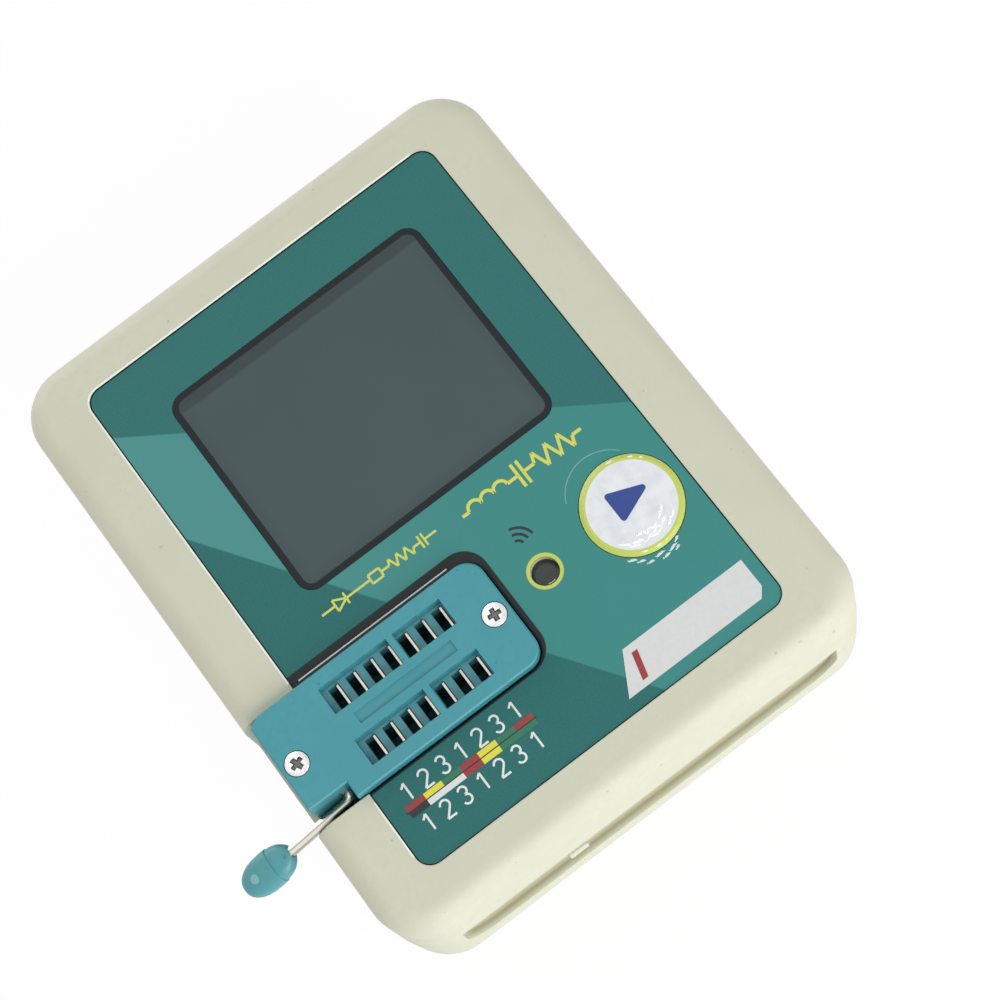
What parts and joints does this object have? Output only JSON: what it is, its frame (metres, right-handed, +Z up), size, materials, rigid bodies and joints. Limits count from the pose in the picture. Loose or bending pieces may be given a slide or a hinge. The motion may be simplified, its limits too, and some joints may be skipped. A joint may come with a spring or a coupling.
{
  "type": "component tester",
  "caption": "Hand-held electronic component tester: cream snap-together case, teal front film, display window, press area and a zero-force test socket with a cam lever.",
  "frame": {"origin": "middle of the case's flat underside", "axes": "+X to the right of the front film, +Y along the case towards the display, +Z up out of the front film"},
  "size_m": [0.0815, 0.0864, 0.0284],
  "materials": {
    "cream_case": "fine satin moulding",
    "printed_film": "printed polyester film",
    "smoked_window": "smoked gloss",
    "display_glass": "dark glass",
    "white_plastic": "matte moulding",
    "black_plastic": "matte moulding",
    "ribbon": "polyimide film",
    "circuit_board": "solder mask",
    "screw_steel": "bright plated",
    "teal_socket": "satin moulding",
    "contact_metal": "tin plated",
    "rod_steel": "bright drawn wire",
    "white_film": "glossy printed film",
    "inlet_steel": "plated sheet",
    "clear_lamp": "clear resin",
    "foil_pouch": "satin foil",
    "foam_tape": "closed foam",
    "lead_cover": "flexible insulation"
  },
  "bodies": {
    "case": {"upper_shell": "cream_case", "lower_shell": "cream_case", "front_overlay": "printed_film", "display_window": "smoked_window", "lcd_panel": "display_glass", "lcd_backlight": "white_plastic", "lcd_carrier": "black_plastic", "lcd_flex": "ribbon", "main_board": "circuit_board", "board_screws": "screw_steel", "zif_base": "teal_socket", "zif_cover": "teal_socket", "zif_contacts": "contact_metal", "zif_screws": "screw_steel", "switch_body": "black_plastic", "ir_receiver": "black_plastic", "usb_socket": "inlet_steel", "charge_led": "clear_lamp", "battery_cell": "foil_pouch", "battery_tape": "foam_tape", "battery_leads": "lead_cover", "battery_connector": "white_plastic", "microcontroller": "black_plastic", "crystal": "inlet_steel", "board_chips": "black_plastic"},
    "lever": {"zif_lever": "rod_steel", "zif_lever_knob": "teal_socket"},
    "comb": {"zif_slider": "teal_socket"},
    "button": {"start_button": "white_film", "switch_plunger": "black_plastic"}
  },
  "joints": [
    {"name": "lever_turn", "type": "hinge", "parent": "case", "child": "lever", "pos_m": [-0.0286, -0.01735, 0.0238], "axis": [0, 1, 0], "range_deg": [0, 106.5]},
    {"name": "comb_slide", "type": "slide", "parent": "case", "child": "comb", "axis": [1, 0, 0], "range_m": [0, 0.00081]},
    {"name": "button_press", "type": "slide", "parent": "case", "child": "button", "axis": [0, 0, -1], "range_m": [0, 0.0003], "stiffness_N_per_m": 300, "springref_m": -0.0002}
  ],
  "couplings": [
    {"joint": "comb_slide", "follows": "lever_turn", "m_per_rad": 0.00043039}
  ]
}
